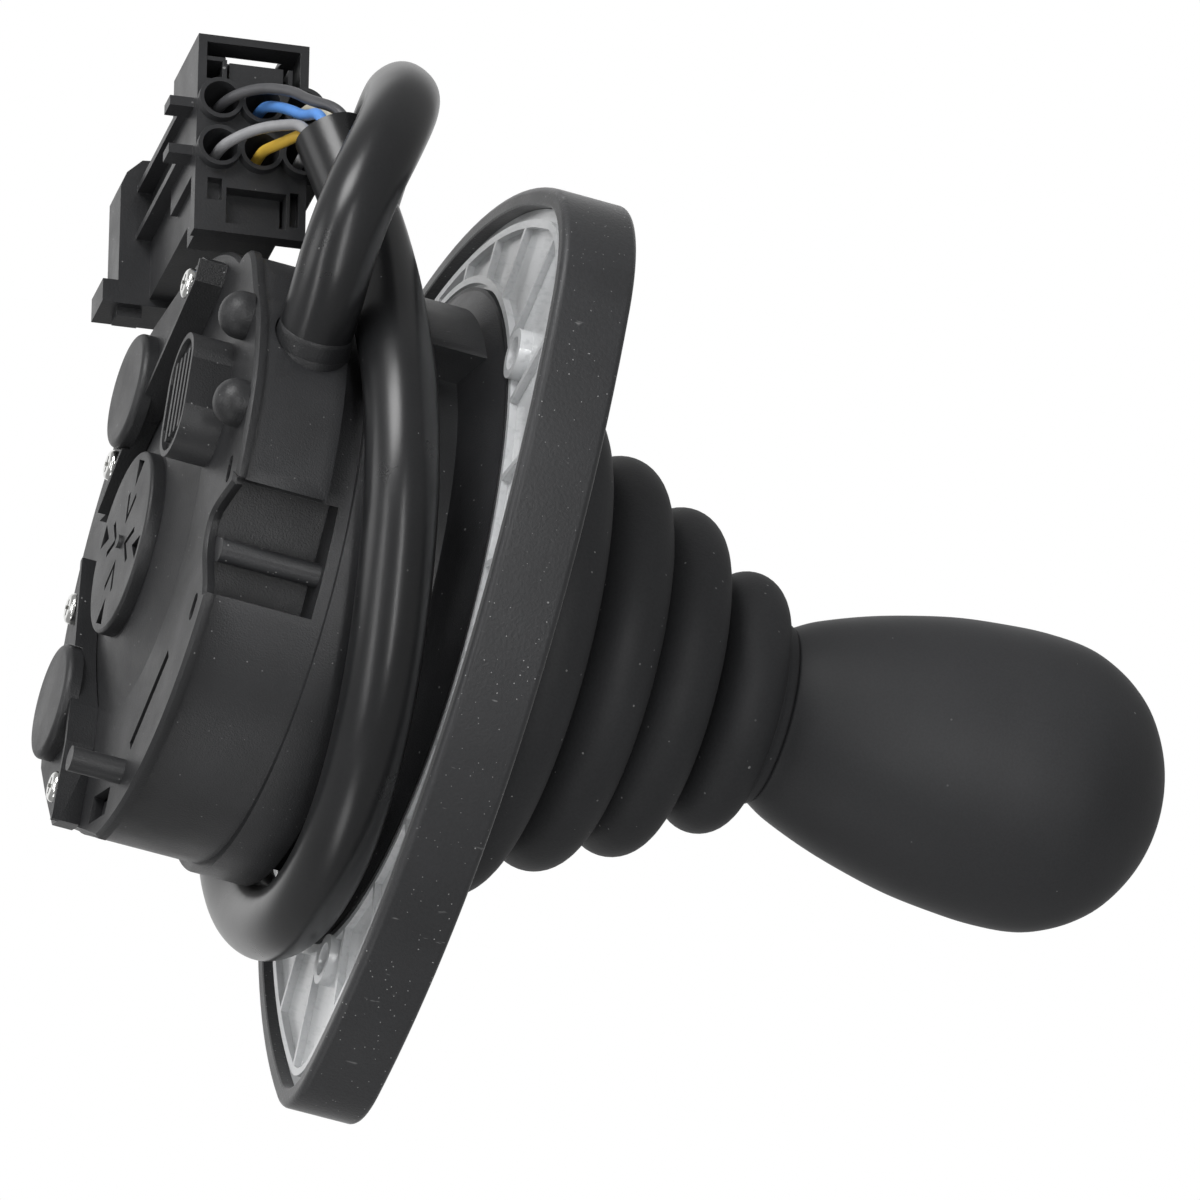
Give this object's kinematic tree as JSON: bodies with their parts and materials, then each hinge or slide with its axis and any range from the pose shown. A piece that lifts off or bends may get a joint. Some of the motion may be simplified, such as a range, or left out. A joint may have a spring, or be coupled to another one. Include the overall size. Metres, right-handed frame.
{
  "type": "industrial joystick",
  "caption": "Panel-mounted two-axis joystick with a pear-shaped knob, stepped bellows boot, three-lobed bezel, round sensor housing and a sleeved lead with a plug.",
  "frame": {"origin": "on the stick's axis in the plane of the bezel ring's back face, where it seats on the panel; the centre of the screw circle", "axes": "+Z along the stick towards the knob; -Y towards the side where the cable leaves the housing; +X away from the plug"},
  "size_m": [0.1379, 0.1151, 0.1523],
  "materials": {
    "ring": "fine grained black moulding",
    "clear": "clear moulding, slightly frosted",
    "housing": "fine grained black moulding",
    "cover": "satin black moulding",
    "screw": "bright zinc plated steel",
    "inner_plastic": "dark grey moulding",
    "steel": "ground steel",
    "zinc": "light alloy casting",
    "board": "green solder mask",
    "chip": "black package",
    "boot": "matte black rubber",
    "spring": "spring wire",
    "connector": "satin black moulding",
    "contact": "tinned brass",
    "sleeve": "satin black sleeve",
    "wire_dark_grey": "dark grey insulation",
    "wire_blue": "light blue insulation",
    "wire_beige": "beige insulation",
    "wire_grey": "light grey insulation",
    "wire_yellow": "yellow insulation",
    "wire_white": "off-white insulation",
    "magnet": "nickel plated magnet",
    "aluminium": "turned",
    "knob": "smooth matte black moulding"
  },
  "bodies": {
    "base": {"bezel_ring": "ring", "flange_plate": "clear", "boot_clamp": "housing", "main_housing": "housing", "rear_cover": "cover", "hub_cap": "cover", "ribbed_plug": "cover", "guide_studs": "cover", "sensor_bracket_a": "cover", "sensor_bracket_b": "cover", "sensor_disc_a": "cover", "sensor_disc_b": "cover", "bracket_screws": "screw", "cable_gland": "sleeve", "pivot_carrier": "inner_plastic", "tilt_pins_x": "steel", "bail_pins": "steel", "spring_seat": "inner_plastic", "circuit_board": "board", "board_spacers": "screw", "field_sensor": "chip", "board_chips": "chip", "boot": "boot", "centring_spring": "spring", "connector_housing": "connector", "connector_lock": "connector", "connector_contacts": "contact", "cable_sleeve": "sleeve", "wire_dark_grey": "wire_dark_grey", "wire_blue": "wire_blue", "wire_beige": "wire_beige", "wire_grey": "wire_grey", "wire_yellow": "wire_yellow", "wire_white": "wire_white"},
    "gimbal": {"gimbal_ring": "zinc", "tilt_pins_y": "steel"},
    "bail": {"sensor_bail": "inner_plastic"},
    "stick": {"stick_shaft": "steel", "tail_magnet": "magnet", "pivot_block": "zinc", "spring_collar": "inner_plastic", "lock_nut": "steel", "boot_collar": "inner_plastic", "knob_core": "aluminium", "grip_knob": "knob"}
  },
  "joints": [
    {"name": "tilt_x", "type": "hinge", "parent": "base", "child": "gimbal", "pos_m": [0, 0, -0.0065], "axis": [1, 0, 0], "range_deg": [-18, 18], "stiffness_Nm_per_rad": 3, "deforming": ["boot", "centring_spring"]},
    {"name": "tilt_y", "type": "hinge", "parent": "gimbal", "child": "stick", "pos_m": [0, 0, -0.0065], "axis": [0, 1, 0], "range_deg": [-18, 18], "stiffness_Nm_per_rad": 3, "deforming": ["boot", "centring_spring"]},
    {"name": "bail_tilt", "type": "hinge", "parent": "base", "child": "bail", "pos_m": [0, 0, -0.0065], "axis": [0, 1, 0], "range_deg": [-18, 18]}
  ],
  "couplings": [
    {"joint": "bail_tilt", "follows": "tilt_y", "ratio": 1}
  ]
}
